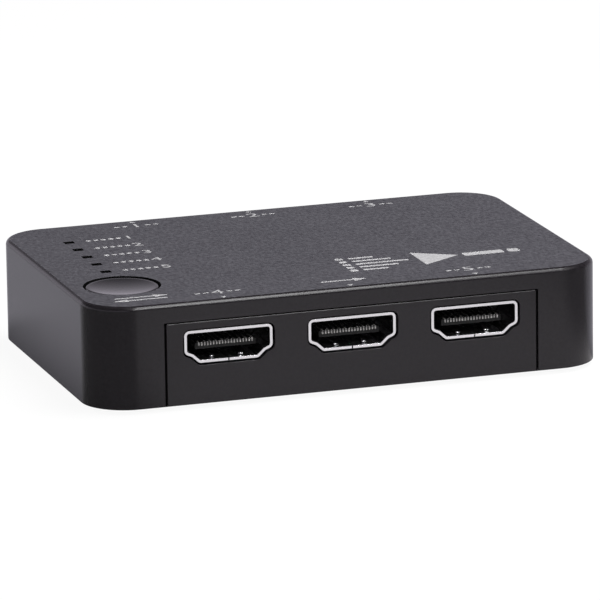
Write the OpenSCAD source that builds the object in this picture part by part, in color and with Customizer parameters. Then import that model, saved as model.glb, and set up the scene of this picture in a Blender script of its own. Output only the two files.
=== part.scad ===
// Video switch box: five signal inputs, one output, one push button, five indicator slots.
// Millimetres, +Z up, the button side of the front at -X, the front face at -Y, z = 0 under the feet.

/* [Casing] */
// Width of the casing across the front
casing_w = 87.5; // [82:0.5:100]
// Depth of the casing from front to rear
casing_d = 58; // [55:0.5:70]
// Height of the casing without its feet
casing_h = 17; // [16.5:0.1:22]
// Radius of the upright corners
corner_r = 7.6; // [6:0.1:9]
// Width of the slanted edge round the roof, from the side and from above
edge_bevel = 0.5; // [0.3:0.05:1.2]
// Thickness of the upright walls
wall_t = 1.8; // [1.4:0.1:2]
// Thickness of the roof
roof_t = 2; // [1.6:0.1:2.4]
// Thickness of the tray's floor
floor_t = 2; // [1.8:0.1:2.4]
// Open seam between the cover and the tray at the sides
seam_side = 0.4; // [0.15:0.05:0.5]
// Open seam between the cover and the top of a port panel
seam_top = 0.16; // [0.1:0.02:0.4]

/* [Port panels] */
// Width of the panel beside its outer socket holes
panel_side = 2.75; // [1.5:0.05:3.5]
// Height of the panel above its socket holes
panel_over = 1.25; // [0.9:0.05:1.5]

/* [Sockets] */
// Distance between neighbouring sockets
socket_pitch = 21; // [19:0.1:22]
// Height of the socket's middle above the bottom of the casing
socket_z = 9.4; // [9.2:0.1:9.9]
// Width of the socket's mouth
mouth_w = 14; // [13:0.1:15]
// Height of the socket's mouth
mouth_h = 4.55; // [4.3:0.05:4.8]
// Height of the upright sides of the mouth
mouth_side_h = 3.05; // [2.8:0.05:3.2]
// Inward step of the mouth below its upright sides
shoulder_w = 1.05; // [0.9:0.05:1.2]
// Fall of the mouth along that step
shoulder_drop = 0.45; // [0.3:0.05:0.5]
// Width of the mouth's flat bottom
mouth_bottom_w = 9.6; // [9:0.1:10.4]
// Radius of the mouth's corners
mouth_r = 0.4; // [0.2:0.05:0.45]
// Thickness of the socket's folded metal
metal_t = 0.45; // [0.3:0.05:0.6]
// Open split along the bottom of the folded metal
split_w = 0.2; // [0.1:0.05:0.4]
// Length of the folded metal
socket_len = 12; // [11.5:0.1:12.4]
// Distance of the mouth behind the outside of the panel
socket_recess = 0.4; // [0.1:0.1:1]
// Open space between the folded metal and the hole in the panel
socket_gap = 0.3; // [0.2:0.05:0.5]
// Space between the folded metal and the insulator in it
insert_gap = 0.05; // [0.03:0.01:0.1]
// Depth of the open cavity behind the mouth
cavity_depth = 8.6; // [8:0.1:9]
// Distance of the tongue's tip behind the mouth
tongue_recess = 1.7; // [1.5:0.1:2.5]
// Width of the tongue
tongue_w = 10.3; // [10:0.1:11]
// Thickness of the tongue between its two rows of contacts
tongue_t = 1; // [0.8:0.05:1.1]
// Fall from the top of the mouth to the top of the tongue
tongue_drop = 2.1; // [1.9:0.05:2.4]
// Width of the metal's legs in the board
leg_w = 1.6; // [1.2:0.1:2]
// Distance from the mouth to the middle of the first pair of legs
leg_first = 4.7; // [4.5:0.1:5.2]
// Distance between the pairs of legs
leg_pitch = 5.4; // [5:0.1:6]
// Length of the legs below the board
leg_below = 0.5; // [0.3:0.1:0.8]

/* [Contacts] */
// Number of contacts on the tongue's upper side
upper_contacts = 10; // [8:1:10]
// Distance between contacts in one row
contact_pitch = 1; // [0.9:0.05:1.05]
// Width of a contact
contact_w = 0.3; // [0.24:0.02:0.36]
// Thickness of a contact
contact_t = 0.14; // [0.12:0.02:0.2]
// Distance of the contacts' ends behind the tongue's tip
contact_back = 0.6; // [0.3:0.1:1]
// Space above and beside a row of contacts in the insulator
contact_fit = 0.03; // [0.02:0.01:0.06]
// Distance from the folded metal to the contacts' bend
tail_out = 0.4; // [0.3:0.05:0.6]
// Length of the contacts' feet on the board
tail_foot = 0.9; // [0.6:0.1:1.2]

/* [Button] */
// Diameter of the button's cap
button_d = 11.9; // [11:0.1:12.4]
// Open ring between the cap and the hole in the roof
button_gap = 0.4; // [0.2:0.02:0.5]
// Distance from the casing's button side to the middle of the button
button_from_side = 9.25; // [9:0.05:10]
// Distance from the front to the middle of the button
button_from_front = 14.6; // [14.4:0.1:16]
// Depth of the cap's rim below the roof
button_drop = 0.15; // [0:0.05:0.4]
// Width of the cap's flat rim
button_rim = 0.3; // [0.2:0.05:0.6]
// Depth of the dish in the cap
dish_depth = 0.3; // [0.2:0.05:0.9]
// Thickness of the cap under the dish
cap_skin = 0.9; // [0.7:0.1:1.2]
// Thickness of the cap's skirt
skirt_t = 1; // [0.8:0.1:1.3]
// Reach of the flange past the skirt
flange_reach = 0.75; // [0.6:0.05:0.8]
// Thickness of the flange
flange_t = 0.9; // [0.7:0.1:1]
// Space between the flange and the roof above it, and above the plunger's collar
flange_gap = 0.05; // [0.03:0.01:0.1]
// Diameter of the stem that presses the switch
stem_d = 3.2; // [2.8:0.1:3.4]
// Way that the button goes down
button_travel = 0.4; // [0.25:0.05:0.5]
// Thickness of the guide ring round the flange
guide_t = 1; // [0.8:0.1:1.2]
// Height of the guide ring under the roof
guide_h = 2; // [1.6:0.1:2.4]
// Space between the guide ring and the flange, and above the sockets under it
guide_gap = 0.25; // [0.2:0.05:0.3]

/* [Push switch] */
// Side of the switch's square base
switch_w = 6; // [5.6:0.1:6.2]
// Height of the switch's base
switch_base_h = 3.1; // [3:0.1:3.4]
// Thickness of the metal plate on the base
switch_plate_t = 0.3; // [0.2:0.05:0.4]
// Part of the plunger that stays above the plate when the button is down
plunger_spare = 1.2; // [1:0.05:1.4]
// Diameter of the plunger
plunger_d = 3.4; // [3.2:0.1:3.6]
// Diameter of the plunger's collar under the plate
plunger_collar_d = 4.2; // [4:0.1:4.4]
// Thickness of the plunger's collar
plunger_collar_t = 0.5; // [0.4:0.05:0.6]
// Diameter of the well in the base
well_d = 4.8; // [4.7:0.1:5]
// Depth of the well in the base
well_depth = 1.9; // [1.8:0.1:2]
// Space round the plunger in the plate
plunger_gap = 0.15; // [0.1:0.05:0.2]
// Diameter of the snap dome
dome_d = 4.4; // [4.2:0.1:4.6]
// Height of the snap dome
dome_h = 0.65; // [0.55:0.05:0.75]
// Thickness of the snap dome
dome_t = 0.15; // [0.1:0.01:0.2]
// Width of the switch's solder legs
switch_leg_w = 0.7; // [0.6:0.1:0.9]
// Thickness of the switch's solder legs
switch_leg_t = 0.3; // [0.2:0.05:0.4]
// Distance between the switch's solder legs
switch_leg_pitch = 4; // [3.6:0.1:4.4]
// Reach of the solder legs on the board
switch_leg_foot = 1; // [0.8:0.1:1.2]

/* [Indicators] */
// Number of indicator slots
lamp_count = 5; // [4:1:5]
// Distance between neighbouring slots
lamp_pitch = 5.4; // [5:0.1:5.6]
// Distance from the casing's button side to the slots
lamp_from_side = 9.45; // [9:0.05:10]
// Distance from the front to the first slot
lamp_from_front = 24.5; // [24.4:0.1:26]
// Width of a slot across the casing
slot_w = 1.7; // [1.5:0.1:2]
// Length of a slot from front to rear
slot_d = 1.5; // [1:0.05:1.8]
// Space between the light guide and its slot
guide_fit = 0.1; // [0.05:0.01:0.15]
// Depth of the light guide's tips below the roof
tip_recess = 0.7; // [0.3:0.05:0.9]
// Width of the light guide's bar
bar_w = 3; // [2.6:0.1:3.4]
// Thickness of the light guide's bar
bar_t = 1.2; // [1:0.1:1.6]
// Reach of the bar past the last slots
bar_end = 1.2; // [1:0.1:1.4]
// Width of a lamp
lamp_w = 1.6; // [1.4:0.1:1.8]
// Length of a lamp from front to rear
lamp_d = 0.8; // [0.7:0.05:1]
// Height of a lamp
lamp_h = 0.7; // [0.5:0.05:0.9]
// Space between a lamp and the light guide above it
lamp_gap = 0.3; // [0.2:0.05:0.5]

/* [Board] */
// Thickness of the main board
board_t = 1.6; // [1.2:0.1:1.8]
// Space between the board and the casing's side walls
board_side_gap = 0.8; // [0.5:0.1:1.2]
// Distance from the casing's front to the board's edge
board_from_front = 3.2; // [2.8:0.1:3.6]
// Space round the cover's pillars in the board
board_fit = 0.5; // [0.3:0.05:0.6]
// Space round the sockets' legs in the board
leg_fit = 0.15; // [0.1:0.05:0.2]
// Distance from the casing's side to the board posts
post_from_side = 15.75; // [15.5:0.25:17]
// Distance from the casing's front to the board posts
post_from_front = 17; // [17:0.25:19]
// Diameter of a board post
post_d = 5; // [4.6:0.1:5.6]

/* [Screws] */
// Distance from the casing's side to the base screws
screw_from_side = 6.75; // [6.5:0.05:7.5]
// Distance from the casing's front to the base screws
screw_from_front = 5.6; // [5.2:0.1:5.8]
// Diameter of a screw's shank
shank_d = 1.85; // [1.7:0.05:2]
// Space between a shank and the plastic that it bites in
bite_gap = 0.05; // [0.03:0.01:0.08]
// Space round a shank or a head in a clearance hole
screw_gap = 0.25; // [0.2:0.05:0.3]
// Diameter of a screw's head
head_d = 3.8; // [3.6:0.1:4]
// Height of a screw's head
head_h = 1.1; // [0.9:0.05:1.2]
// Depth of the cross in a screw's head
cross_depth = 0.7; // [0.5:0.05:0.8]
// Length of the cross in a screw's head
cross_len = 2.2; // [1.8:0.1:2.6]
// Width of the cross in a screw's head
cross_w = 0.5; // [0.4:0.05:0.6]
// Depth of the pocket for a base screw's head
pocket_depth = 1.2; // [1.2:0.05:1.3]
// Length of a base screw's shank
base_screw_len = 6.5; // [6:0.1:7.5]
// Length of a board screw's shank
board_screw_len = 3.6; // [3.2:0.1:3.8]
// Spare depth of a hole past the screw's tip
hole_spare = 0.6; // [0.4:0.1:1]
// Diameter of the cover's screw pillars
pillar_d = 4.6; // [4.2:0.1:4.6]

/* [Feet] */
// Diameter of a rubber foot
foot_d = 8; // [6:0.1:9]
// Part of a foot that stands out below the casing
foot_drop = 0.8; // [0.5:0.05:1]
// Depth of the shallow pocket that holds a foot
foot_pocket = 0.4; // [0.2:0.05:0.6]
// Space round a foot in its pocket
foot_gap = 0.15; // [0.1:0.05:0.3]
// Distance from the casing's side to a foot's middle
foot_from_side = 12.75; // [12.5:0.25:16]
// Distance from the casing's front to a foot's middle
foot_from_front = 11; // [10.5:0.25:14]

/* [Board parts] */
// Side of the signal switch chip
signal_chip_w = 10; // [8:0.5:12]
// Height of the signal switch chip
signal_chip_h = 1.2; // [0.8:0.1:1.6]
// Number of leads on each side of the signal switch chip
signal_leads = 16; // [12:1:16]
// Distance between leads of the signal switch chip
signal_lead_pitch = 0.5; // [0.45:0.05:0.5]
// Reach of the leads past the chip
lead_reach = 0.8; // [0.6:0.1:1]
// Height of the leads
lead_h = 0.2; // [0.15:0.05:0.3]
// Size of the control chip across, from front to rear, and up
control_size = [6.5, 4.4, 1]; // [0.5:0.1:8]
// Number of leads on each side of the control chip
control_leads = 8; // [6:1:9]
// Distance between leads of the control chip
control_lead_pitch = 0.65; // [0.55:0.05:0.7]
// Size of the regulator across, from front to rear, and up
regulator_size = [6.5, 3.5, 1.6]; // [1:0.1:8]
// Distance between the regulator's leads
regulator_lead_pitch = 2.3; // [2:0.1:2.4]
// Width of the regulator's leads
regulator_lead_w = 0.7; // [0.5:0.1:0.9]
// Width of the regulator's cooling tab
regulator_tab_w = 3; // [2.6:0.1:3.4]
// Length of the clock crystal
crystal_len = 11; // [9:0.5:12]
// Width of the clock crystal
crystal_w = 4.4; // [4:0.1:5]
// Height of the clock crystal
crystal_h = 3.4; // [2.6:0.1:3.8]
// Diameter of a can capacitor
can_d = 5; // [4:0.5:5.5]
// Height of a can capacitor
can_h = 5.4; // [4:0.1:6]
// Size of a chip capacitor across, from front to rear, and up
chip_cap_size = [0.8, 1.6, 0.8]; // [0.5:0.1:2]
// Size of a chip resistor across, from front to rear, and up
chip_res_size = [1.6, 0.8, 0.5]; // [0.4:0.1:2]

/* [Hidden] */
// Flat steps in a quarter turn of an outline
quarter_steps = 12;
// Steps in a small rounded corner
small_steps = 4;
// Steps round the large ball that hollows the button's shallow dish
dish_steps = 240;
// Overshoot of a cutting tool past the face that it cuts
over = 0.5;
// Overlap of a joined piece with the piece it grows from
root = 0.2;
$fn = 48;

z_casing = foot_drop;
z_roof = z_casing + casing_h;
z_ceiling = z_roof - roof_t;
z_floor = z_casing + floor_t;
z_socket = z_casing + socket_z;
z_board_top = z_socket - mouth_h / 2 - metal_t;
z_board = z_board_top - board_t;
z_socket_top = z_socket + mouth_h / 2 + metal_t;
z_plunger = z_board_top + switch_base_h + switch_plate_t + plunger_spare + button_travel;
z_flange = z_ceiling - flange_gap;
z_cap = z_roof - button_drop;
z_guide = max(z_ceiling - guide_h, z_socket_top + guide_gap);

button_at = [button_from_side - casing_w / 2, button_from_front - casing_d / 2];
flange_r = button_d / 2 + flange_reach;
dish_r = button_d / 2 - button_rim;
dish_ball = (dish_r * dish_r + dish_depth * dish_depth) / (2 * dish_depth);
z_cap_under = z_cap - dish_depth - cap_skin;

lamp_x = lamp_from_side - casing_w / 2;
lamp_ys = [for (i = [0 : lamp_count - 1]) lamp_from_front - casing_d / 2 + i * lamp_pitch];

panel_w = 2 * (socket_pitch + mouth_w / 2 + metal_t + socket_gap + panel_side);
panel_h = socket_z + mouth_h / 2 + metal_t + socket_gap + panel_over;

board_size = [casing_w - 2 * (wall_t + board_side_gap), casing_d - 2 * board_from_front];
screw_at = [casing_w / 2 - screw_from_side, casing_d / 2 - screw_from_front];
post_at = [casing_w / 2 - post_from_side, casing_d / 2 - post_from_front];
foot_at = [casing_w / 2 - foot_from_side, casing_d / 2 - foot_from_front];
bite_d = shank_d + 2 * bite_gap;
pass_d = shank_d + 2 * screw_gap;

control_at = [-17, -5];
crystal_at = [-19.5, 5];
regulator_at = [17, -5];
can_from_edge = 7;
can_ys = [-7, 7];
chip_cap_x = [-7.5, -2.5, 2.5, 7.5];
chip_cap_y = 9;
chip_res_x = 12;
chip_res_ys = [2, 4, 6, 8];

PORTS = ["in_1", "in_2", "in_3", "in_4", "out", "in_5"];
// Place along the casing and turn of each socket, the rear row first
port_x = [-socket_pitch, 0, socket_pitch, -socket_pitch, 0, socket_pitch];
port_turn = [180, 180, 180, 0, 0, 0];

// Node that is drawn, or all of them

// Outlines

function arc(c, r, from) =
    [for (i = [0 : quarter_steps])
        c + r * [cos(from + 90 * i / quarter_steps), sin(from + 90 * i / quarter_steps)]];

function plan(w, d, r) = concat(
    arc([w / 2 - r, d / 2 - r], r, 0),
    arc([r - w / 2, d / 2 - r], r, 90),
    arc([r - w / 2, r - d / 2], r, 180),
    arc([w / 2 - r, r - d / 2], r, 270));

function unit(v) = v / norm(v);
function right_of(v) = [v[1], -v[0]];
function turn_of(a, b) = a[0] * b[1] - a[1] * b[0] < 0 ? -1 : 1;

// Moves every side of an outline outward by g
function grown(p, g) =
    [for (i = [0 : len(p) - 1])
        let (before = p[(i + len(p) - 1) % len(p)], after = p[(i + 1) % len(p)],
             m = right_of(unit(p[i] - before)), n = right_of(unit(after - p[i])))
        p[i] + g * (m + n) / (1 + m * n)];

// Rounds every corner of an outline that was grown by g
function rounded(p, r, g) =
    [for (i = [0 : len(p) - 1])
        let (a = unit(p[i] - p[(i + len(p) - 1) % len(p)]), b = unit(p[(i + 1) % len(p)] - p[i]),
             t = turn_of(a, b), bend = acos(a * b), cr = max(mouth_r / 2, r + t * g),
             c = p[i] - a * cr * tan(bend / 2) - t * cr * right_of(a), start = atan2(a[1], a[0]) - t * 90)
        for (k = [0 : small_steps])
            c + cr * [cos(start + t * bend * k / small_steps), sin(start + t * bend * k / small_steps)]];

mouth_corners = [
    [mouth_w / 2, mouth_h / 2],
    [-mouth_w / 2, mouth_h / 2],
    [-mouth_w / 2, mouth_h / 2 - mouth_side_h],
    [shoulder_w - mouth_w / 2, mouth_h / 2 - mouth_side_h - shoulder_drop],
    [-mouth_bottom_w / 2, -mouth_h / 2],
    [mouth_bottom_w / 2, -mouth_h / 2],
    [mouth_w / 2 - shoulder_w, mouth_h / 2 - mouth_side_h - shoulder_drop],
    [mouth_w / 2, mouth_h / 2 - mouth_side_h]];

function mouth(g) = rounded(grown(mouth_corners, g), mouth_r, g);

// Shared helpers

// A socket's outline grown by g, standing from y = from to y = to
module mouth_prism(g, from, to) {
    translate([0, to, 0])
        rotate([90, 0, 0])
            linear_extrude(to - from)
                polygon(mouth(g));
}

// Puts a socket's own frame at its place: mouth at y = 0, inward along +y
module at_port(i) {
    rotate([0, 0, port_turn[i]])
        translate([port_turn[i] == 0 ? port_x[i] : -port_x[i], socket_recess - casing_d / 2, z_socket])
            children();
}

module at_corners(place) {
    for (sx = [-1, 1], sy = [-1, 1])
        translate([sx * place[0], sy * place[1], 0])
            children();
}

module box_at(size, z) {
    translate([-size[0] / 2, -size[1] / 2, z])
        cube(size);
}

// A screw that stands head down with its head's seat at z = 0
module screw(len) {
    difference() {
        translate([0, 0, -head_h])
            cylinder(h = head_h, d = head_d);
        for (a = [0, 90])
            rotate([0, 0, a])
                box_at([cross_len, cross_w, cross_depth + over], -head_h - over);
    }
    translate([0, 0, -root])
        cylinder(h = len + root, d = shank_d);
}

// Casing

module rounded_block() {
    e = edge_bevel;
    hull()
        at_corners([casing_w / 2 - corner_r, casing_d / 2 - corner_r]) {
            cylinder(h = casing_h - e, r = corner_r);
            cylinder(h = casing_h, r = corner_r - e);
        }
}

module panel_notch() {
    w = panel_w + 2 * seam_side;
    h = panel_h + seam_top;
    translate([-w / 2, -casing_d / 2 - over, z_casing - over])
        cube([w, wall_t + 2 * over, h + over]);
}

module top_cover() {
    color("DimGray") {
        difference() {
            translate([0, 0, z_casing])
                rounded_block();
            translate([0, 0, z_casing - over])
                linear_extrude(z_ceiling - z_casing + over)
                    polygon(plan(casing_w - 2 * wall_t, casing_d - 2 * wall_t, corner_r - wall_t));
            for (a = [0, 180])
                rotate([0, 0, a])
                    panel_notch();
            translate([button_at[0], button_at[1], z_ceiling - over])
                cylinder(h = roof_t + 2 * over, d = button_d + 2 * button_gap);
            for (y = lamp_ys)
                translate([lamp_x, y, 0])
                    box_at([slot_w, slot_d, roof_t + 2 * over], z_ceiling - over);
        }
        guide_ring();
        at_corners(screw_at)
            screw_pillar();
    }
}

module guide_ring() {
    r = flange_r + guide_gap;
    translate([button_at[0], button_at[1], z_guide])
        difference() {
            cylinder(h = z_ceiling - z_guide + root, r = r + guide_t);
            translate([0, 0, -over])
                cylinder(h = z_ceiling - z_guide + root + 2 * over, r = r);
        }
}

module screw_pillar() {
    depth = base_screw_len - (floor_t - pocket_depth) + hole_spare;
    difference() {
        translate([0, 0, z_floor])
            cylinder(h = z_ceiling - z_floor + root, d = pillar_d);
        translate([0, 0, z_floor - over])
            cylinder(h = depth + over, d = bite_d);
    }
}

module port_panel() {
    difference() {
        translate([-panel_w / 2, -casing_d / 2, z_casing])
            cube([panel_w, wall_t, panel_h]);
        for (i = [-1, 0, 1])
            translate([i * socket_pitch, -casing_d / 2, z_socket])
                mouth_prism(metal_t + socket_gap, -over, wall_t + over);
    }
}

module base_tray() {
    inset = 2 * (wall_t + seam_side);
    color("DarkSlateGray")
        difference() {
            union() {
                translate([0, 0, z_casing])
                    linear_extrude(floor_t)
                        polygon(plan(casing_w - inset, casing_d - inset, corner_r - inset / 2));
                box_at([panel_w, casing_d, floor_t], z_casing);
                for (a = [0, 180])
                    rotate([0, 0, a])
                        port_panel();
                at_corners(post_at)
                    translate([0, 0, z_floor - root])
                        cylinder(h = z_board - z_floor + root, d = post_d);
            }
            at_corners(post_at)
                translate([0, 0, z_board_top - board_screw_len - hole_spare])
                    cylinder(h = board_screw_len + hole_spare + over, d = bite_d);
            at_corners(screw_at) {
                translate([0, 0, z_casing - over])
                    cylinder(h = floor_t + 2 * over, d = pass_d);
                translate([0, 0, z_casing - over])
                    cylinder(h = pocket_depth + over, d = head_d + 2 * screw_gap);
            }
            at_corners(foot_at)
                translate([0, 0, z_casing - over])
                    cylinder(h = foot_pocket + over, d = foot_d + 2 * foot_gap);
        }
}

module rubber_feet() {
    color("Black")
        at_corners(foot_at)
            cylinder(h = foot_drop + foot_pocket, d = foot_d);
}

module base_screws() {
    color("Silver")
        at_corners(screw_at)
            translate([0, 0, z_casing + pocket_depth])
                screw(base_screw_len);
}

// Board

// Middles of a socket's four legs in the socket's own frame
leg_places = [for (s = [-1, 1], k = [0, 1])
    [s * (mouth_w + metal_t) / 2, leg_first + k * leg_pitch]];

module main_board() {
    notch = screw_at - [1, 1] * (pillar_d / 2 + board_fit);
    color("DarkGreen")
        difference() {
            box_at([board_size[0], board_size[1], board_t], z_board);
            for (sx = [0, 1], sy = [0, 1])
                mirror([sx, 0, 0])
                    mirror([0, sy, 0])
                        translate([notch[0], notch[1], z_board - over])
                            cube([casing_w, casing_d, board_t + 2 * over]);
            for (i = [0 : len(PORTS) - 1])
                at_port(i)
                    for (p = leg_places)
                        translate([p[0], p[1], z_board - z_socket - over])
                            box_at([metal_t + 2 * leg_fit, leg_w + 2 * leg_fit, board_t + 2 * over], 0);
            at_corners(post_at)
                translate([0, 0, z_board - over])
                    cylinder(h = board_t + 2 * over, d = pass_d);
        }
}

module board_screws() {
    color("Silver")
        at_corners(post_at)
            translate([0, 0, z_board_top])
                rotate([180, 0, 0])
                    screw(board_screw_len);
}

// Sockets

module socket_shell() {
    foot = z_board - leg_below - z_socket;
    color("Gainsboro") {
        difference() {
            mouth_prism(metal_t, 0, socket_len);
            mouth_prism(0, -over, socket_len + over);
            translate([-split_w / 2, -over, -mouth_h / 2 - metal_t - over])
                cube([split_w, socket_len + 2 * over, metal_t + 2 * over]);
        }
        for (p = leg_places)
            translate([p[0], p[1], 0])
                box_at([metal_t, leg_w, mouth_h / 2 - mouth_side_h + metal_t - foot], foot);
    }
}

tongue_top = mouth_h / 2 - tongue_drop;
upper_row = [for (i = [0 : upper_contacts - 1]) (i - (upper_contacts - 1) / 2) * contact_pitch];
lower_row = [for (i = [0 : upper_contacts - 2]) (i - (upper_contacts - 2) / 2) * contact_pitch];

// A strip that lies along the tongue with its top at z, then bends down to the board
module contact(x, z) {
    floor_z = z_board_top - z_socket;
    start = tongue_recess + contact_back;
    bend = socket_len + tail_out;
    translate([x - contact_w / 2, 0, 0])
        rotate([90, 0, 90])
            linear_extrude(contact_w)
                polygon([
                    [start, z - contact_t],
                    [bend, z - contact_t],
                    [bend, floor_z],
                    [bend + tail_foot, floor_z],
                    [bend + tail_foot, floor_z + contact_t],
                    [bend + contact_t, floor_z + contact_t],
                    [bend + contact_t, z],
                    [start, z]]);
}

module socket_contacts() {
    color("Gold") {
        for (x = upper_row)
            contact(x, tongue_top + contact_t);
        for (x = lower_row)
            contact(x, tongue_top - tongue_t);
    }
}

// A slit through the insulator for one row of contacts
module row_slit(row, z) {
    w = row[len(row) - 1] - row[0] + contact_w + 2 * contact_fit;
    translate([-w / 2, cavity_depth - over, z])
        cube([w, socket_len - cavity_depth + 2 * over, contact_t + contact_fit]);
}

module socket_insulator() {
    color("Black")
        difference() {
            union() {
                mouth_prism(-insert_gap, cavity_depth, socket_len);
                translate([-tongue_w / 2, tongue_recess, tongue_top - tongue_t])
                    cube([tongue_w, cavity_depth - tongue_recess + root, tongue_t]);
            }
            row_slit(upper_row, tongue_top);
            row_slit(lower_row, tongue_top - tongue_t - contact_t - contact_fit);
        }
}

// Button and push switch

module at_button(z) {
    translate([button_at[0], button_at[1], z])
        children();
}

module select_button() {
    z_low = z_flange - flange_t;
    color("DarkGray") {
        difference() {
            union() {
                at_button(z_low)
                    cylinder(h = z_cap - z_low, d = button_d);
                at_button(z_low)
                    cylinder(h = flange_t, r = flange_r);
            }
            at_button(z_low - over)
                cylinder(h = z_cap_under - z_low + over, d = button_d - 2 * skirt_t);
            at_button(z_cap - dish_depth + dish_ball)
                sphere(r = dish_ball, $fn = dish_steps);
        }
        at_button(z_plunger)
            cylinder(h = z_cap_under - z_plunger + root, d = stem_d);
    }
}

module switch_base() {
    color("Black")
        difference() {
            at_button(0)
                box_at([switch_w, switch_w, switch_base_h], z_board_top);
            at_button(z_board_top + switch_base_h - well_depth)
                cylinder(h = well_depth + over, d = well_d);
        }
}

module switch_plate() {
    color("Silver")
        difference() {
            at_button(0)
                box_at([switch_w, switch_w, switch_plate_t], z_board_top + switch_base_h);
            at_button(z_board_top + switch_base_h - over)
                cylinder(h = switch_plate_t + 2 * over, d = plunger_d + 2 * plunger_gap);
        }
}

module switch_plunger() {
    z_collar = z_board_top + switch_base_h - flange_gap - plunger_collar_t;
    z_nub = z_board_top + switch_base_h - well_depth + dome_h;
    color("Ivory") {
        at_button(z_collar)
            cylinder(h = z_plunger - z_collar, d = plunger_d);
        at_button(z_collar)
            cylinder(h = plunger_collar_t, d = plunger_collar_d);
        at_button(z_nub)
            cylinder(h = z_collar - z_nub + root, d = plunger_d / 2);
    }
}

module switch_dome() {
    rim = dome_d / 2;
    ball = (rim * rim + dome_h * dome_h) / (2 * dome_h);
    z_rim = z_board_top + switch_base_h - well_depth;
    color("LightGray")
        intersection() {
            at_button(z_rim)
                cylinder(h = dome_h + over, d = dome_d);
            difference() {
                at_button(z_rim + dome_h - ball)
                    sphere(r = ball);
                at_button(z_rim + dome_h - ball)
                    sphere(r = ball - dome_t);
            }
        }
}

module switch_legs() {
    rise = switch_base_h / 2;
    color("Silver")
        for (a = [0, 180], s = [-1, 1])
            at_button(z_board_top)
                rotate([0, 0, a])
                    translate([s * switch_leg_pitch / 2 - switch_leg_w / 2, switch_w / 2, 0]) {
                        cube([switch_leg_w, switch_leg_t, rise]);
                        cube([switch_leg_w, switch_leg_foot, switch_leg_t]);
                    }
}

// Indicators

module light_guide() {
    first = lamp_ys[0];
    last = lamp_ys[lamp_count - 1];
    tip = [slot_w - 2 * guide_fit, slot_d - 2 * guide_fit];
    z_low = z_board_top + lamp_h + lamp_gap;
    color("DimGray") {
        translate([lamp_x - bar_w / 2, first - bar_end, z_ceiling - bar_t])
            cube([bar_w, last - first + 2 * bar_end, bar_t]);
        for (y = lamp_ys)
            translate([lamp_x, y, 0])
                box_at([tip[0], tip[1], z_roof - tip_recess - z_low], z_low);
    }
}

module indicator_lamps() {
    color("White")
        for (y = lamp_ys)
            translate([lamp_x, y, 0])
                box_at([lamp_w, lamp_d, lamp_h], z_board_top);
}

// Small parts on the board

module leads(count, pitch, size, reach) {
    for (a = [0, 180], i = [0 : count - 1])
        rotate([0, 0, a])
            translate([(i - (count - 1) / 2) * pitch - pitch / 4, size / 2 - root, z_board_top])
                cube([pitch / 2, reach + root, lead_h]);
}

module signal_chip() {
    color("Black") {
        box_at([signal_chip_w, signal_chip_w, signal_chip_h], z_board_top);
        for (a = [0, 90])
            rotate([0, 0, a])
                leads(signal_leads, signal_lead_pitch, signal_chip_w, lead_reach);
    }
}

module control_chip() {
    color("Black")
        translate([control_at[0], control_at[1], 0]) {
            box_at(control_size, z_board_top);
            leads(control_leads, control_lead_pitch, control_size[1], lead_reach);
        }
}

module voltage_regulator() {
    color("Black")
        translate([regulator_at[0], regulator_at[1], 0]) {
            box_at(regulator_size, z_board_top);
            for (i = [-1, 0, 1])
                translate([i * regulator_lead_pitch, -(regulator_size[1] + lead_reach - root) / 2, 0])
                    box_at([regulator_lead_w, lead_reach + root, lead_h], z_board_top);
            translate([0, (regulator_size[1] + lead_reach - root) / 2, 0])
                box_at([regulator_tab_w, lead_reach + root, lead_h], z_board_top);
        }
}

module clock_crystal() {
    color("Silver")
        translate([crystal_at[0], crystal_at[1], z_board_top])
            linear_extrude(crystal_h)
                polygon(plan(crystal_len, crystal_w, crystal_w / 2 - root));
}

module can_capacitors() {
    color("SlateGray")
        for (y = can_ys)
            translate([board_size[0] / 2 - can_from_edge, y, z_board_top])
                cylinder(h = can_h, d = can_d);
}

module chip_capacitors() {
    color("Tan")
        for (x = chip_cap_x, s = [-1, 1])
            translate([x, s * chip_cap_y, 0])
                box_at(chip_cap_size, z_board_top);
}

module chip_resistors() {
    color("Black")
        for (y = chip_res_ys, s = [-1, 1])
            translate([s * chip_res_x, y, 0])
                box_at(chip_res_size, z_board_top);
}

top_cover();
base_tray();
main_board();
for (i = [0 : len(PORTS) - 1]) {
    at_port(i) socket_shell();
    at_port(i) socket_insulator();
    at_port(i) socket_contacts();
}
select_button();
switch_base();
switch_plate();
switch_plunger();
switch_dome();
switch_legs();
light_guide();
indicator_lamps();
signal_chip();
control_chip();
voltage_regulator();
clock_crystal();
can_capacitors();
chip_capacitors();
chip_resistors();
board_screws();
base_screws();
rubber_feet();
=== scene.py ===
import math

import bmesh
import bpy
from mathutils import Matrix, Vector


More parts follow.
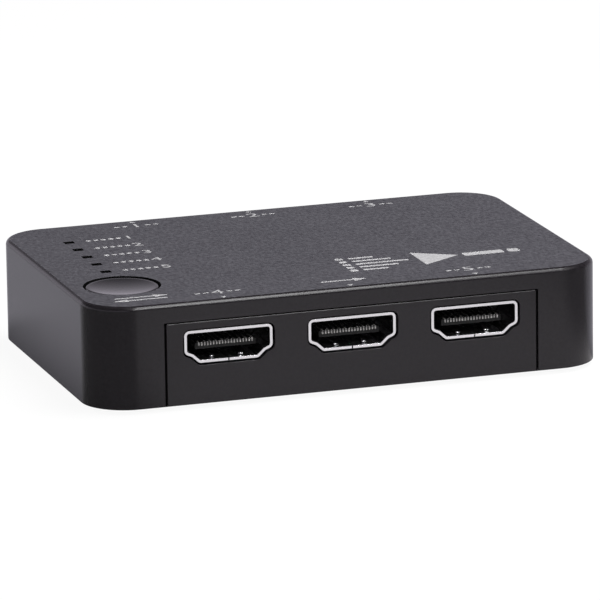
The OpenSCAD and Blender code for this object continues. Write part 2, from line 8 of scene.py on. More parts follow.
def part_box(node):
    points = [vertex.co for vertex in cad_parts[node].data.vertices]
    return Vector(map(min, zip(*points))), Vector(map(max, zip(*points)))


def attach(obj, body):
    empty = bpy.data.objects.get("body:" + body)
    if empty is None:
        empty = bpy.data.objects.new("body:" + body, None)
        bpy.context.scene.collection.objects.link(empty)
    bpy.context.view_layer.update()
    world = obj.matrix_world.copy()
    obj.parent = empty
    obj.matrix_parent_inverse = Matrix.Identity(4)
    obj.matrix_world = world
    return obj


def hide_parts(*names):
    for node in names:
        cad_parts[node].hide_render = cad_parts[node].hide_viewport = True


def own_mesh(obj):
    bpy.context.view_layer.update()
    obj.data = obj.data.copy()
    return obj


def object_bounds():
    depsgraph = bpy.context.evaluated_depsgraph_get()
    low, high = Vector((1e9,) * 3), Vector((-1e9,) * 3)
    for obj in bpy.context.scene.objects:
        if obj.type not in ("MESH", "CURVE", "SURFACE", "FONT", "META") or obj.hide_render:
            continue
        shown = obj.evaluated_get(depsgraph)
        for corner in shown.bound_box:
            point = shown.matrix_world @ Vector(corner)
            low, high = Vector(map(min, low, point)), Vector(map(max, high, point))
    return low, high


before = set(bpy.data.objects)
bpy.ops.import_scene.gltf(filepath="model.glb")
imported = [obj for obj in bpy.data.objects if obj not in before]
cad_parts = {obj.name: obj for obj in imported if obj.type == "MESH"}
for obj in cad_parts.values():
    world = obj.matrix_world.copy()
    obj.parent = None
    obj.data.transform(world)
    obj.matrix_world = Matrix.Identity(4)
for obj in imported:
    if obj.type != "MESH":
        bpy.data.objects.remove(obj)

# Video switch box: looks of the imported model. Lengths are in mm unless a comment says metres.
MM = 0.001
# Lowest and highest corner of the CAD model, in metres
CAD_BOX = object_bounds()
PORTS = ("in_1", "in_2", "in_3", "in_4", "out", "in_5")
# Edges whose faces turn by more degrees than this are rounded
CREASE = 28

# Roof: its height in metres, its thickness, and how far out from the middle its holes lie
ROOF_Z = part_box("top_cover")[1].z
ROOF_T = 2
HOLES_X = 41
HOLES_Y = 26
# Port panels: width and height
PANEL_W = 63
PANEL_H = 13.6
# Lips beside the panels: width, depth, and how far their middle lies out from the panel's side
# and behind its face
LIP_W = 0.4
LIP_D = 1.2
LIP_OUT = 0.15
LIP_BACK = 1.1
# Sockets: from the middle to the top of the folded metal
MOUTH_TOP = 2.725
# Spring leaves: width, thickness, distance from the socket's middle at the mouth, outward slant
# for each mm of depth, and a section from the mouth inward as depth and height
LEAF_W = 0.7
LEAF_T = 0.15
LEAF_X = 2.2
LEAF_SLANT = 0.157
LEAF_SECTION = (
    (1.3, -2.2), (1.5, -2.05), (3.0, -2.0), (4.6, -1.98), (6.3, -2.04), (6.6, -1.95), (6.75, -1.7))
# Contacts: number, pitch, size of the nose and its depth behind the mouth
CONTACTS = 19
CONTACT_PITCH = 0.5
NOSE = (0.27, 0.1, 0.62)
NOSE_BACK = 1.67
# Button: travel, depth of the dish, and lower and upper height of the flange
DISH = 0.3
FLANGE_LOW = 14.85
FLANGE_TOP = 15.75
# Printed ink: thickness, and the distance between the rows of marks beside the slots
INK_T = 0.02
ROW_PITCH = 5.4

# Camera, fitted to the photograph: turn, tilt and roll in degrees, and the lens
YAW, PITCH, ROLL = 17.92, 14.115, -0.816
LENS = 391.37
# The point that the camera turns about, and its place from there: to the right, up and back
PIVOT = (0, 0, 9.325)
STAND = (0.412, -0.469, 1082.4)


# Colours and nodes

def linear(code):
    """An sRGB hex colour as linear red, green, blue and alpha."""
    parts = [int(code[i:i + 2], 16) / 255 for i in (1, 3, 5)]
    return [c / 12.92 if c <= 0.04045 else ((c + 0.055) / 1.055) ** 2.4 for c in parts] + [1]


def add(tree, kind, inputs=None, **settings):
    """Adds a node, sets its properties, and sets or links its inputs."""
    made = tree.nodes.new("ShaderNode" + kind)
    for key, value in settings.items():
        setattr(made, key, value)
    for key, value in (inputs or {}).items():
        if isinstance(value, bpy.types.NodeSocket):
            tree.links.new(value, made.inputs[key])
        else:
            made.inputs[key].default_value = value
    return made


def grained(name, dark, light, grit, rough, bump, **surface):
    """A material whose colour, roughness and height vary with a grain.

    grit is the size of a grain in mm along x, y and z, rough the least and greatest roughness,
    and bump the height of the grain in mm. surface sets the shader's own sockets.
    """
    # Slow changes of colour: their size in mm, and their share beside the grain's
    patch, patch_share = 14, 0.1
    material = bpy.data.materials.new(name)
    material.use_nodes = True
    tree = material.node_tree
    tree.nodes.clear()
    place = add(tree, "TexCoord")
    scaled = add(tree, "Mapping", {
        "Vector": place.outputs["Object"],
        "Scale": [1 / (2 * g * MM) for g in grit]})
    grain = add(tree, "TexNoise", {
        "Vector": scaled.outputs["Vector"], "Scale": 1.0, "Detail": 2.0, "Roughness": 0.55})
    broad = add(tree, "TexNoise", {
        "Vector": place.outputs["Object"], "Scale": 1 / (patch * MM), "Detail": 1.0})
    both = add(tree, "Math", {
        0: broad.outputs["Fac"], 1: patch_share, 2: grain.outputs["Fac"]}, operation="MULTIPLY_ADD")
    spread = add(tree, "MapRange", {
        "Value": both.outputs[0], "From Min": 0.3, "From Max": 0.8})
    colour = add(tree, "Mix", {
        "Factor": spread.outputs["Result"], "A": linear(dark), "B": linear(light)},
        data_type="RGBA")
    gloss = add(tree, "MapRange", {
        "Value": grain.outputs["Fac"], "From Min": 0.3, "From Max": 0.7,
        "To Min": rough[0], "To Max": rough[1]})
    relief = add(tree, "Bump", {
        "Height": grain.outputs["Fac"], "Strength": 1.0, "Distance": bump * MM})
    shader = add(tree, "BsdfPrincipled", {
        "Base Color": colour.outputs["Result"], "Roughness": gloss.outputs["Result"],
        "Normal": relief.outputs["Normal"], **surface})
    out = add(tree, "OutputMaterial")
    tree.links.new(shader.outputs["BSDF"], out.inputs["Surface"])
    return material


# Finishes

# ABS from a spark-eroded mould: dark grey, matt, with a pebbled grain that sparkles a little. Its
# grey, lighter than the walls of the same ABS, is partly painted sheen. Such a grain is usually
# finer and shallower, and is drawn as coarse as it needs to show.
roof_abs = grained(
    "textured_abs", "#343339", "#616066", (0.28, 0.44, 0.28), (0.45, 0.6), 0.09,
    **{"IOR": 1.53, "Specular IOR Level": 0.4})
# ABS from a polished mould: near black, smooth and satin, so it mirrors pale things softly.
side_abs = grained(
    "satin_abs", "#252226", "#2a272b", (0.2, 0.2, 0.2), (0.24, 0.27), 0.0003,
    **{"IOR": 1.53, "Specular IOR Level": 0.3})
# The same ABS where the roof is cut through, soot black and dull: painted shade, because little
# light gets in.
painted_shade_abs = grained(
    "shaded_abs", "#0b0b0c", "#101011", (0.2, 0.2, 0.2), (0.7, 0.8), 0.001,
    **{"IOR": 1.5, "Specular IOR Level": 0.1})
# ABS of the tray: as the sides, a little duller.
tray_abs = grained(
    "tray_abs", "#262327", "#2c292d", (0.2, 0.2, 0.2), (0.28, 0.36), 0.002,
    **{"IOR": 1.53, "Specular IOR Level": 0.3})
# ABS of the button: smooth dish with a soft sheen.
button_abs = grained(
    "button_abs", "#1f1e21", "#252427", (0.15, 0.15, 0.15), (0.12, 0.16), 0.001,
    **{"IOR": 1.53, "Specular IOR Level": 0.6})
# Nickel-plated steel sheet, folded: bright, with faint rolling lines along its depth.
socket_nickel = grained(
    "nickel_plated_steel", "#d8d8da", "#efeff0", (0.12, 2.0, 0.12), (0.16, 0.26), 0.0008,
    **{"Metallic": 1.0})
# Glass-filled polymer of the insulators: black and dull.
insulator_black = grained(
    "black_polymer", "#0f0f0f", "#161616", (0.2, 0.2, 0.2), (0.45, 0.6), 0.003,
    **{"IOR": 1.6, "Specular IOR Level": 0.25})
# Pale flash over a copper alloy: warm grey, rolled along its length.
contact_metal = grained(
    "pale_flash", "#959491", "#aeadaa", (0.08, 1.0, 0.08), (0.25, 0.4), 0.0008,
    **{"Metallic": 1.0})
# Epoxy ink put on by pad printing: light grey, matt, a little thin in places.
print_ink = grained(
    "printed_ink", "#b4b3b5", "#cfced0", (0.25, 0.25, 0.25), (0.5, 0.6), 0.004,
    **{"IOR": 1.5})
# Glass and epoxy laminate under green solder mask: smooth, with a faint mottle.
board_mask = grained(
    "solder_mask", "#0c3a20", "#14502d", (0.4, 0.4, 0.4), (0.3, 0.4), 0.004,
    **{"IOR": 1.55})
# Epoxy chip moulding: black and matt.
chip_epoxy = grained(
    "epoxy_moulding", "#1a1a1b", "#242425", (0.1, 0.1, 0.1), (0.5, 0.65), 0.004,
    **{"IOR": 1.55})
# Bare stainless sheet with rolling lines.
plain_steel = grained(
    "stainless_sheet", "#a8a8aa", "#c2c2c4", (0.06, 1.2, 0.06), (0.25, 0.4), 0.001,
    **{"Metallic": 1.0})
# Tin on copper: whitish and soft.
tinned_copper = grained(
    "tinned_copper", "#b9b9b6", "#d0d0cd", (0.1, 0.1, 0.1), (0.3, 0.45), 0.001,
    **{"Metallic": 1.0})
# Zinc-plated steel screws: bluish grey with fine turning marks.
screw_zinc = grained(
    "zinc_plated_steel", "#8f9194", "#b3b5b8", (0.15, 0.15, 0.04), (0.28, 0.42), 0.002,
    **{"Metallic": 1.0})
# Drawn aluminium cans: pale and brushed along their height.
can_aluminium = grained(
    "drawn_aluminium", "#b4b5b7", "#d3d4d6", (0.08, 0.08, 1.5), (0.3, 0.42), 0.001,
    **{"Metallic": 1.0})
# Fired ceramic chips: tan and chalky.
tan_ceramic = grained(
    "fired_ceramic", "#8d7a58", "#a8946f", (0.1, 0.1, 0.1), (0.5, 0.65), 0.003,
    **{"IOR": 1.6})
# Silicone over a lamp's chip: milky and smooth.
lamp_silicone = grained(
    "lamp_silicone", "#cfcdb8", "#e2e0cc", (0.3, 0.3, 0.3), (0.2, 0.3), 0.001,
    **{"IOR": 1.43})
# Smoked polycarbonate of the light guide: nearly black while its lamps are off.
smoked_guide = grained(
    "smoked_polycarbonate", "#0c0c0d", "#121213", (0.3, 0.3, 0.3), (0.15, 0.22), 0.001,
    **{"IOR": 1.58})
# Moulded rubber feet: black and dusty matt.
foot_rubber = grained(
    "foot_rubber", "#161617", "#232324", (0.25, 0.25, 0.25), (0.7, 0.85), 0.02,
    **{"IOR": 1.52})


# Pieces

def piece(name, bm, *materials, body="casing", slot=None, stands_for=()):
    """Makes an object of a bmesh, shaded smooth, and ties it to a body of the model."""
    mesh = bpy.data.meshes.new(name)
    for face in bm.faces:
        face.smooth = True
    bm.to_mesh(mesh)
    bm.free()
    for material in materials:
        mesh.materials.append(material)
    thing = bpy.data.objects.new(name, mesh)
    bpy.context.scene.collection.objects.link(thing)
    thing.modifiers.new("even_shading", "WEIGHTED_NORMAL").keep_sharp = True
    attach(thing, body)
    if stands_for:
        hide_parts(*stands_for)
    return thing


def merged(node):
    """A bmesh of a CAD node with its triangles joined to whole faces."""
    bm = bmesh.new()
    bm.from_mesh(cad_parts[node].data)
    for layer in list(bm.loops.layers.float_vector.values()):
        bm.loops.layers.float_vector.remove(layer)
    bmesh.ops.remove_doubles(bm, verts=bm.verts, dist=0.002 * MM)
    bmesh.ops.dissolve_limit(
        bm, angle_limit=math.radians(0.3), use_dissolve_boundaries=False,
        verts=bm.verts, edges=bm.edges, delimit=set())
    return bm


def sharp_edges(bm, least, most=180):
    """The edges whose faces turn by more than least and less than most degrees."""
    return [e for e in bm.edges if e.is_manifold
            and math.radians(least) < e.calc_face_angle() < math.radians(most)]


def rounded(bm, edges, width, steps):
    """Rounds edges by a width in mm."""
    bmesh.ops.bevel(
        bm, geom=edges, offset=width * MM, offset_type="OFFSET", affect="EDGES", segments=steps,
        profile=0.5, material=-1, clamp_overlap=True)


def softened(node, width):
    """A merged CAD node with its sharp edges rounded, as a mould or a press leaves them."""
    bm = merged(node)
    rounded(bm, sharp_edges(bm, CREASE), width, 2)
    return bm


def cover():
    """Roof and walls: the roof is textured, the edge round it and the walls are satin, and the
    walls of the roof's holes are painted shade.
    """
    bm = merged("top_cover")
    # The slant round the roof meets the roof and the walls at about 45 degrees
    rounded(bm, sharp_edges(bm, 38, 52), 0.28, 6)
    rounded(bm, sharp_edges(bm, 60), 0.06, 2)
    for face in bm.faces:
        middle = face.calc_center_median()
        on_roof = face.normal.z > 0.99 and middle.z > ROOF_Z - 0.05 * MM
        # The walls of the slots and holes in the roof get the painted shade
        painted_shade_wall = (abs(face.normal.z) < 0.5 and middle.z > ROOF_Z - ROOF_T * MM
                   and abs(middle.x) < HOLES_X * MM and abs(middle.y) < HOLES_Y * MM)
        face.material_index = 0 if on_roof else 2 if painted_shade_wall else 1
    piece("cover", bm, roof_abs, side_abs, painted_shade_abs, slot="cover_plastic", stands_for=["top_cover"])


def tray():
    """Floor and port panels; the panels' upper edges are rounder than the rest."""
    bm = merged("base_tray")
    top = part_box("base_tray")[1].z - 0.01 * MM
    upper = [e for e in sharp_edges(bm, 60) if all(v.co.z > top for v in e.verts)]
    rounded(bm, upper, 0.22, 4)
    rounded(bm, sharp_edges(bm, CREASE), 0.1, 2)
    piece("tray", bm, tray_abs, slot="tray_plastic", stands_for=["base_tray"])


def block(bm, size, place, soft):
    """Adds a small block with rounded edges."""
    made = bmesh.ops.create_cube(bm, size=1)["verts"]
    bmesh.ops.scale(bm, vec=[v * MM for v in size], verts=made)
    bmesh.ops.translate(bm, vec=[v * MM for v in place], verts=made)
    rounded(bm, list({e for v in made for e in v.link_edges}), soft, 1)


def seam_lips():
    """Set-back lips along the sides of the port panels, which close the seams to the cover; they
    are soot black, painted shade as dark as the seams.
    """
    bm = bmesh.new()
    low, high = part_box("base_tray")
    x = PANEL_W / 2 + LIP_OUT
    y = high.y / MM - LIP_BACK
    z = low.z / MM + PANEL_H / 2
    for side_x in (-1, 1):
        for side_y in (-1, 1):
            block(bm, (LIP_W, LIP_D, PANEL_H), (side_x * x, side_y * y, z), 0.05)
    # The lips take the painted shade, as dark as a shaded seam
    piece("seam_lips", bm, painted_shade_abs, slot="tray_plastic")


def to_port(bm, port):
    """Moves a socket's detail from the socket's frame, with its mouth at y = 0, to its place."""
    low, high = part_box("socket_shell_" + port)
    rear = low.y > 0
    turn = Matrix.Rotation(math.pi if rear else 0, 4, "Z")
    place = Vector(((low.x + high.x) / 2, high.y if rear else low.y, high.z - MOUTH_TOP * MM))
    bmesh.ops.transform(bm, matrix=Matrix.Translation(place) @ turn, verts=bm.verts)


def leaf(bm, side):
    """Adds a leaf spring on the mouth's bottom, slanted outward, with its inner end turned up."""
    line = []
    for y, z in LEAF_SECTION:
        x = side * (LEAF_X + LEAF_SLANT * y) - LEAF_W / 2
        line.append(bm.verts.new((x * MM, y * MM, z * MM)))
    edges = [bm.edges.new(pair) for pair in zip(line, line[1:])]
    swept = bmesh.ops.extrude_edge_only(bm, edges=edges)["geom"]
    moved = [v for v in swept if isinstance(v, bmesh.types.BMVert)]
    bmesh.ops.translate(bm, vec=(LEAF_W * MM, 0, 0), verts=moved)
    faces = [f for f in swept if isinstance(f, bmesh.types.BMFace)]
    bmesh.ops.recalc_face_normals(bm, faces=faces)
    bmesh.ops.solidify(bm, geom=faces, thickness=LEAF_T * MM)


def sockets():
    """Folded metal, insulator, leaf springs and the contacts' noses of each socket."""
    for port in PORTS:
        bm = softened("socket_shell_" + port, 0.16)
        piece("folded_metal_" + port, bm, socket_nickel, slot="socket_metal",
              stands_for=["socket_shell_" + port])
        bm = softened("socket_insulator_" + port, 0.06)
        piece("insulator_" + port, bm, insulator_black, slot="black_plastic",
              stands_for=["socket_insulator_" + port])
        bm = bmesh.new()
        for side in (-1, 1):
            leaf(bm, side)
        bmesh.ops.recalc_face_normals(bm, faces=bm.faces)
        to_port(bm, port)
        piece("leaf_springs_" + port, bm, socket_nickel, slot="socket_metal")
        bm = bmesh.new()
        for i in range(CONTACTS):
            x = (i - CONTACTS // 2) * CONTACT_PITCH
            block(bm, NOSE, (x, NOSE_BACK, 0.0), 0.04)
        to_port(bm, port)
        piece("contact_noses_" + port, bm, contact_metal, slot="contact_metal")


def select_button():
    """The cap is turned from its section: dish, rim, skirt, flange and stem."""
    low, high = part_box("select_button")
    middle = (low + high) / 2
    top = high.z / MM
    foot = low.z / MM
    flange = (high.x - low.x) / 2 / MM
    radius = flange - 0.75
    rim = radius - 0.25
    inside = radius - 1
    ceiling = top - DISH - 0.9
    stem = 1.6
    soft = 0.05
    # The dish is part of a ball
    ball = (rim * rim + DISH * DISH) / (2 * DISH)
    steps = 14
    section = [(0, top - DISH)]
    for i in range(1, steps + 1):
        r = rim * i / steps
        section.append((r, top - DISH + ball - math.sqrt(ball * ball - r * r)))
    section += [(radius - 0.12, top - 0.02), (radius - 0.03, top - 0.09), (radius, top - 0.2)]
    section += [(radius, FLANGE_TOP), (flange - soft, FLANGE_TOP), (flange, FLANGE_TOP - soft)]
    section += [(flange, FLANGE_LOW + soft), (flange - soft, FLANGE_LOW), (inside, FLANGE_LOW)]
    section += [(inside, ceiling), (stem, ceiling)]
    section += [(stem, foot + 0.08), (stem - 0.1, foot), (0, foot)]
    bm = bmesh.new()
    points = [bm.verts.new((r * MM, 0, z * MM)) for r, z in section]
    for a, b in zip(points, points[1:]):
        bm.edges.new((a, b))
    bmesh.ops.spin(
        bm, geom=bm.verts[:] + bm.edges[:], cent=(0, 0, 0), axis=(0, 0, 1), angle=math.tau,
        steps=96, use_merge=True)
    bmesh.ops.remove_doubles(bm, verts=bm.verts, dist=0.001 * MM)
    bmesh.ops.recalc_face_normals(bm, faces=bm.faces)
    bmesh.ops.translate(bm, verts=bm.verts, vec=(middle.x, middle.y, 0))
    piece("button", bm, button_abs, body="button", slot="button_plastic",
          stands_for=["select_button"])


def snap_dome():
    """The sprung dome under the button, which flattens as the button goes down."""
    bm = merged("switch_dome")
    dome = piece("snap_dome", bm, plain_steel, slot="plain_steel", stands_for=["switch_dome"])
    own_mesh(dome)


def underside():
    """Screws and feet under the tray."""
    bm = softened("base_screws", 0.1)
    piece("tray_screws", bm, screw_zinc, slot="screw_steel", stands_for=["base_screws"])
    bm = softened("rubber_feet", 0.3)
    piece("feet", bm, foot_rubber, slot="foot_rubber", stands_for=["rubber_feet"])


# Printed marks: plain numerals, dots, bars and arrows on the roof

def mark(bm, size, place):
    """Adds a flat printed bar with softened corners."""
    made = bmesh.ops.create_cube(bm, size=1)["verts"]
    bmesh.ops.scale(bm, vec=(size[0] * MM, size[1] * MM, INK_T * MM), verts=made)
    upright = [e for e in {e for v in made for e in v.link_edges}
               if abs((e.verts[0].co - e.verts[1].co).normalized().z) > 0.9]
    bmesh.ops.translate(
        bm, vec=(place[0] * MM, place[1] * MM, ROOF_Z + INK_T * MM / 2), verts=made)
    rounded(bm, upright, min(size) * 0.2, 2)


def head(bm, size, place, turn):
    """Adds a flat printed triangle of a length and width that points along turn degrees from +x."""
    ring = bmesh.ops.create_circle(bm, cap_ends=True, segments=3, radius=1)["verts"]
    tip_to_x = Matrix.Rotation(-math.pi / 2, 3, "Z")
    bmesh.ops.rotate(bm, matrix=tip_to_x, verts=ring, cent=(0, 0, 0))
    # A triangle in a circle of radius 1 is 1.5 long and the root of 3 wide
    bmesh.ops.scale(bm, vec=(size[0] * MM / 1.5, size[1] * MM / math.sqrt(3), 1), verts=ring)
    turned = Matrix.Rotation(math.radians(turn), 3, "Z")
    bmesh.ops.rotate(bm, matrix=turned, verts=ring, cent=(0, 0, 0))
    bmesh.ops.translate(bm, vec=(place[0] * MM, place[1] * MM, ROOF_Z), verts=ring)
    face = list({f for v in ring for f in v.link_faces})
    bmesh.ops.recalc_face_normals(bm, faces=face)
    raised = bmesh.ops.extrude_face_region(bm, geom=face, use_keep_orig=True)["geom"]
    lifted = [v for v in raised if isinstance(v, bmesh.types.BMVert)]
    bmesh.ops.translate(bm, vec=(0, 0, INK_T * MM), verts=lifted)


def numeral(bm, text, place, height):
    """Adds a printed numeral, wide as on the front of an appliance."""
    # Height of a digit as a share of the font's size, and how much wider it is drawn
    digit, wider = 0.7, 1.35
    curve = bpy.data.curves.new("numeral", "FONT")
    curve.body = text
    curve.align_x = "CENTER"
    curve.align_y = "CENTER"
    curve.size = height / digit * MM
    curve.extrude = INK_T * MM / 2
    curve.resolution_u = 4
    holder = bpy.data.objects.new("numeral", curve)
    mesh = bpy.data.meshes.new_from_object(holder)
    spot = Matrix.Translation((place[0] * MM, place[1] * MM, ROOF_Z + INK_T * MM / 2))
    mesh.transform(spot @ Matrix.Diagonal((wider, 1, 1, 1)))
    bm.from_mesh(mesh)
    bpy.data.objects.remove(holder)
    bpy.data.curves.remove(curve)
    bpy.data.meshes.remove(mesh)


def slot_marks(bm):
    """Five dots and a numeral beside each slot."""
    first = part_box("indicator_lamps")[0].y / MM + 0.4
    for row, text in enumerate("54321"):
        y = first + ROW_PITCH * row
        for i in range(5):
            mark(bm, (0.85, 0.9), (-31.0 + 1.3 * i, y))
        numeral(bm, text, (-24.0, y), 2.0)


def port_marks(bm):
    """A numeral between bars at each input, an arrow at the output, and pointers at the edge."""
    bar = (1.0, 0.5)
    front_y, front_edge, forward = -24.2, -27.5, -90
    rear_y, rear_edge, backward = 24.6, 27.2, 90
    front = [(text, x, front_y, front_edge, forward)
             for text, x in (("4", -21.4), ("", 0.1), ("5", 21.5))]
    rear = [(text, x, rear_y, rear_edge, backward)
            for text, x in (("1", -20.4), ("2", 0.2), ("3", 21.2))]
    for text, x, y, edge, turn in front + rear:
        if text:
            numeral(bm, text, (x, y), 2.3)
            for side in (-1, 1):
                mark(bm, bar, (x + side * 2.0, y))
                mark(bm, bar, (x + side * 3.4, y))
        else:
            mark(bm, (5.4, 0.5), (x - 1.2, y))
            head(bm, (2.2, 2.0), (x + 2.4, y), 0)
        head(bm, (1.0, 1.1), (x, edge), turn)


def button_marks(bm):
    """Two arrows that change places."""
    x = -34.1
    for side in (-1, 1):
        y = -23.7 + side * 0.85
        mark(bm, (6.6, 0.5), (x - side * 0.9, y))
        head(bm, (2.4, 1.6), (x + side * 3.2, y), 90 - side * 90)


def signal_marks(bm):
    """Five signals that lead to one."""
    y = -14.6
    start = 5.4
    for i in range(-2, 3):
        row = y + i * 2.0
        reach = 14.5 - abs(i) * 2.4
        mark(bm, (1.3, 1.1), (3.8, row))
        mark(bm, (reach - start, 0.75), (start + (reach - start) / 2, row))
    head(bm, (7.0, 8.6), (18.5, y), 0)
    mark(bm, (7.0, 2.0), (27.5, y))
    mark(bm, (2.0, 2.0), (32.8, y))


def printed_marks():
    """All the ink on the roof, as one piece."""
    bm = bmesh.new()
    slot_marks(bm)
    port_marks(bm)
    button_marks(bm)
    signal_marks(bm)
    piece("printed_marks", bm, print_ink)


def inner_finishes():
    """Finishes of the nodes that keep their CAD shape."""
    finishes = {
        "main_board": board_mask, "switch_base": chip_epoxy, "switch_plate": plain_steel,
        "switch_plunger": insulator_black, "switch_legs": tinned_copper,
        "light_guide": smoked_guide, "indicator_lamps": lamp_silicone, "signal_chip": chip_epoxy,
        "control_chip": chip_epoxy, "voltage_regulator": chip_epoxy, "clock_crystal": plain_steel,
        "can_capacitors": can_aluminium, "chip_capacitors": tan_ceramic,
        "chip_resistors": chip_epoxy, "board_screws": screw_zinc}
    for port in PORTS:
        finishes["socket_contacts_" + port] = contact_metal
    for name, material in finishes.items():
        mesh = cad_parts[name].data
        mesh.materials.clear()
        mesh.materials.append(material)


cover()
tray()
seam_lips()
sockets()
select_button()
snap_dome()
underside()
printed_marks()
inner_finishes()


# Stage

def studio_floor():
    """Pale paint, which the camera sees as white with a faint shadow and a painted shadow under the
    box, and gloss as lit in parts by painted light and shade.
    """
    material = bpy.data.materials.new("studio_floor")
    material.use_nodes = True
    tree = material.node_tree
    tree.nodes.clear()
    path = add(tree, "LightPath")
    paint = add(tree, "BsdfDiffuse", {"Color": linear("#f0f0f0")})
    place = add(tree, "TexCoord")
    split = add(tree, "SeparateXYZ", {0: place.outputs["Object"]})
    off_x = add(tree, "Math", {0: split.outputs["X"]}, operation="ABSOLUTE")
    off_y = add(tree, "Math", {0: split.outputs["Y"]}, operation="ABSOLUTE")

    # To the camera: white, with a faint shadow, and a painted shadow, dark, well under the box
    past_x = add(tree, "Math", {0: off_x.outputs[0], 1: 36 * MM}, operation="GREATER_THAN")
    past_y = add(tree, "Math", {0: off_y.outputs[0], 1: 26.1 * MM}, operation="GREATER_THAN")
    clear = add(tree, "Math", {0: past_x.outputs[0], 1: past_y.outputs[0]}, operation="MAXIMUM")
    seen = add(tree, "Math", {0: clear.outputs[0], 1: 1.04}, operation="MULTIPLY")
    white = add(tree, "Emission", {"Color": linear("#ffffff"), "Strength": seen.outputs[0]})
    shown = add(tree, "MixShader", {0: 0.9, 1: paint.outputs[0], 2: white.outputs[0]})

    # In gloss: painted light, bright in front of the box, between its ends
    slant = add(tree, "Math", {
        0: split.outputs["Y"], 1: 0.15, 2: split.outputs["X"]}, operation="MULTIPLY_ADD")
    left_end = add(tree, "MapRange", {
        "Value": slant.outputs[0], "From Min": -42 * MM, "From Max": -34 * MM})
    right_end = add(tree, "MapRange", {
        "Value": split.outputs["X"], "From Min": 70 * MM, "From Max": 50 * MM})
    facing = add(tree, "Math", {
        0: left_end.outputs["Result"], 1: right_end.outputs["Result"]}, operation="MULTIPLY")
    bright = add(tree, "Emission", {"Color": linear("#fffaff"), "Strength": 0.9})
    front = add(tree, "MixShader", {0: 0.7, 1: paint.outputs[0], 2: bright.outputs[0]})

    # In gloss: painted light, pale grey past a line that runs from the front left corner, with a
    # painted shadow close to the box
    back = add(tree, "Math", {0: split.outputs["Y"], 1: 22 * MM}, operation="ADD")
    left = add(tree, "Math", {0: -43 * MM, 1: split.outputs["X"]}, operation="SUBTRACT")
    swing = add(tree, "Math", {0: back.outputs[0], 1: left.outputs[0]}, operation="ARCTAN2")
    behind = add(tree, "MapRange", {
        "Value": swing.outputs[0], "From Min": math.radians(48), "From Max": math.radians(67)})
    gap_x = add(tree, "Math", {0: off_x.outputs[0], 1: CAD_BOX[1].x}, operation="SUBTRACT")
    gap_y = add(tree, "Math", {0: off_y.outputs[0], 1: CAD_BOX[1].y}, operation="SUBTRACT")
    gap = add(tree, "Math", {0: gap_x.outputs[0], 1: gap_y.outputs[0]}, operation="MAXIMUM")
    shade = add(tree, "MapRange", {
        "Value": gap.outputs[0], "From Min": 0.0, "From Max": 13 * MM,
        "To Min": 0.28, "To Max": 0.74})
    aside = add(tree, "Emission", {
        "Color": linear("#f6f3ff"), "Strength": shade.outputs["Result"]})

    # In gloss: painted shade, dark elsewhere, such as at the front corners
    painted_dark = add(tree, "Emission", {"Color": linear("#ffffff"), "Strength": 0.2})
    lit = add(tree, "Math", {
        0: facing.outputs[0], 1: behind.outputs["Result"]}, operation="MAXIMUM")
    open_floor = add(tree, "MixShader", {
        0: behind.outputs["Result"], 1: front.outputs[0], 2: aside.outputs[0]})
    mirrored = add(tree, "MixShader", {
        0: lit.outputs[0], 1: painted_dark.outputs[0], 2: open_floor.outputs[0]})

    glossy = add(tree, "MixShader", {
        0: path.outputs["Is Glossy Ray"], 1: paint.outputs[0], 2: mirrored.outputs[0]})
    final = add(tree, "MixShader", {
        0: path.outputs["Is Camera Ray"], 1: glossy.outputs[0], 2: shown.outputs[0]})
    out = add(tree, "OutputMaterial")
    tree.links.new(final.outputs[0], out.inputs["Surface"])
    return material


def floor():
    """A plain floor, 6 metres across."""
    bm = bmesh.new()
    bmesh.ops.create_grid(bm, x_segments=1, y_segments=1, size=3.0)
    mesh = bpy.data.meshes.new("floor")
    bm.to_mesh(mesh)
    bm.free()
    mesh.materials.append(studio_floor())
    thing = bpy.data.objects.new("floor", mesh)
    bpy.context.scene.collection.objects.link(thing)


def room():
    """A dim room that is white to the camera."""
    world = bpy.data.worlds.new("studio")
    bpy.context.scene.world = world
    world.use_nodes = True
    tree = world.node_tree
    tree.nodes.clear()
    path = add(tree, "LightPath")
    place = add(tree, "TexCoord")
    split = add(tree, "SeparateXYZ", {0: place.outputs["Generated"]})
    # Gloss sees a pale wall behind the box that fades upward
    height = add(tree, "MapRange", {
        "Value": split.outputs["Z"], "From Min": 0.0, "From Max": 0.45,
        "To Min": 0.85, "To Max": 0.04})
    far = add(tree, "MapRange", {
        "Value": split.outputs["Y"], "From Min": -0.2, "From Max": 0.3, "To Min": 0.06})
    wall = add(tree, "Math", {
        0: height.outputs["Result"], 1: far.outputs["Result"]}, operation="MULTIPLY")
    # A pale card at the left rear lightens the slant of the roof's left edge
    card_top = add(tree, "MapRange", {
        "Value": split.outputs["Z"], "From Min": 0.38, "From Max": 0.32})
    card_side = add(tree, "MapRange", {
        "Value": split.outputs["X"], "From Min": -0.08, "From Max": -0.2})
    card = add(tree, "Math", {
        0: card_top.outputs["Result"], 1: card_side.outputs["Result"]}, operation="MULTIPLY")
    pale = add(tree, "Math", {0: wall.outputs[0], 1: card.outputs[0]}, operation="MAXIMUM")
    dim = add(tree, "Background", {"Color": linear("#ffffff"), "Strength": 0.12})
    mirrored = add(tree, "Background", {
        "Color": linear("#f8f1ff"), "Strength": pale.outputs[0]})
    white = add(tree, "Background", {"Color": linear("#ffffff"), "Strength": 1.0})
    glossy = add(tree, "MixShader", {
        0: path.outputs["Is Glossy Ray"], 1: dim.outputs[0], 2: mirrored.outputs[0]})
    final = add(tree, "MixShader", {
        0: path.outputs["Is Camera Ray"], 1: glossy.outputs[0], 2: white.outputs[0]})
    out = add(tree, "OutputWorld")
    tree.links.new(final.outputs[0], out.inputs["Surface"])


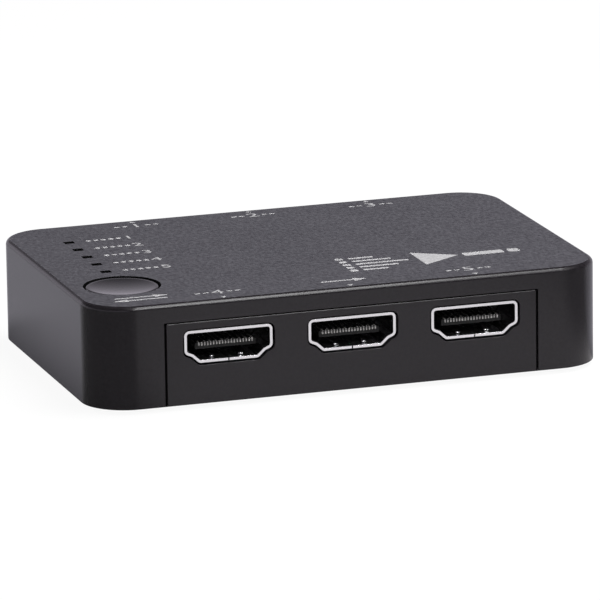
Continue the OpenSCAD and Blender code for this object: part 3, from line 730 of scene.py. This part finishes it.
def soft_box(name, place, back, size, glow):
    """A soft box in metres with its back turned along a direction.

    glow is its strength at its left edge and over the rest of it.
    """
    lamp = bpy.data.lights.new(name, "AREA")
    lamp.shape = "RECTANGLE"
    lamp.size, lamp.size_y = size
    lamp.energy = math.pi * size[0] * size[1]
    lamp.use_nodes = True
    tree = lamp.node_tree
    tree.nodes.clear()
    across = add(tree, "NewGeometry")
    split = add(tree, "SeparateXYZ", {0: across.outputs["Parametric"]})
    fade = add(tree, "MapRange", {
        "Value": split.outputs["X"], "From Min": 0.14, "From Max": 0.38,
        "To Min": glow[0], "To Max": glow[1]})
    light = add(tree, "Emission", {
        "Color": linear("#ffffff"), "Strength": fade.outputs["Result"]})
    out = add(tree, "OutputLight")
    tree.links.new(light.outputs[0], out.inputs["Surface"])
    thing = bpy.data.objects.new(name, lamp)
    bpy.context.scene.collection.objects.link(thing)
    back = Vector(back).normalized()
    right = Vector((0, 1, 0)).cross(back).normalized()
    turned = Matrix((right, back.cross(right), back)).transposed()
    thing.matrix_world = Matrix.Translation(place) @ turned.to_4x4()
    return thing


def lamps():
    """An overhead soft box, and a card seen by gloss alone that draws the roof's front edge."""
    overhead = soft_box(
        "soft_box", place=(0.2, -0.06, 0.56), back=(0.2, -0.06, 0.56),
        size=(0.4, 0.4), glow=(8, 8))
    overhead.visible_glossy = False
    edge_card = soft_box(
        "edge_card", place=(0.225, -0.282, 0.398), back=(0.294, -0.599, 0.746),
        size=(0.3, 0.46), glow=(17, 1.2))
    edge_card.visible_diffuse = False


def camera():
    """The photograph's viewpoint: a long lens at the button's side of the front."""
    yaw, pitch, roll = (math.radians(a) for a in (YAW, PITCH, ROLL))
    back = Vector((
        -math.sin(yaw) * math.cos(pitch), -math.cos(yaw) * math.cos(pitch), math.sin(pitch)))
    right = (-back).cross(Vector((0, 0, 1))).normalized()
    up = right.cross(-back)
    level = Matrix((right, up, back)).transposed()
    turned = level @ Matrix.Rotation(roll, 3, "Z")
    lens = bpy.data.cameras.new("camera")
    lens.sensor_width = 36
    lens.lens = LENS
    lens.clip_end = 10
    thing = bpy.data.objects.new("camera", lens)
    bpy.context.scene.collection.objects.link(thing)
    spot = Vector(PIVOT) + turned @ Vector(STAND)
    thing.matrix_world = Matrix.Translation(spot * MM) @ turned.to_4x4()
    bpy.context.scene.camera = thing


floor()
room()
lamps()
camera()
bpy.context.scene.view_settings.view_transform = "Standard"
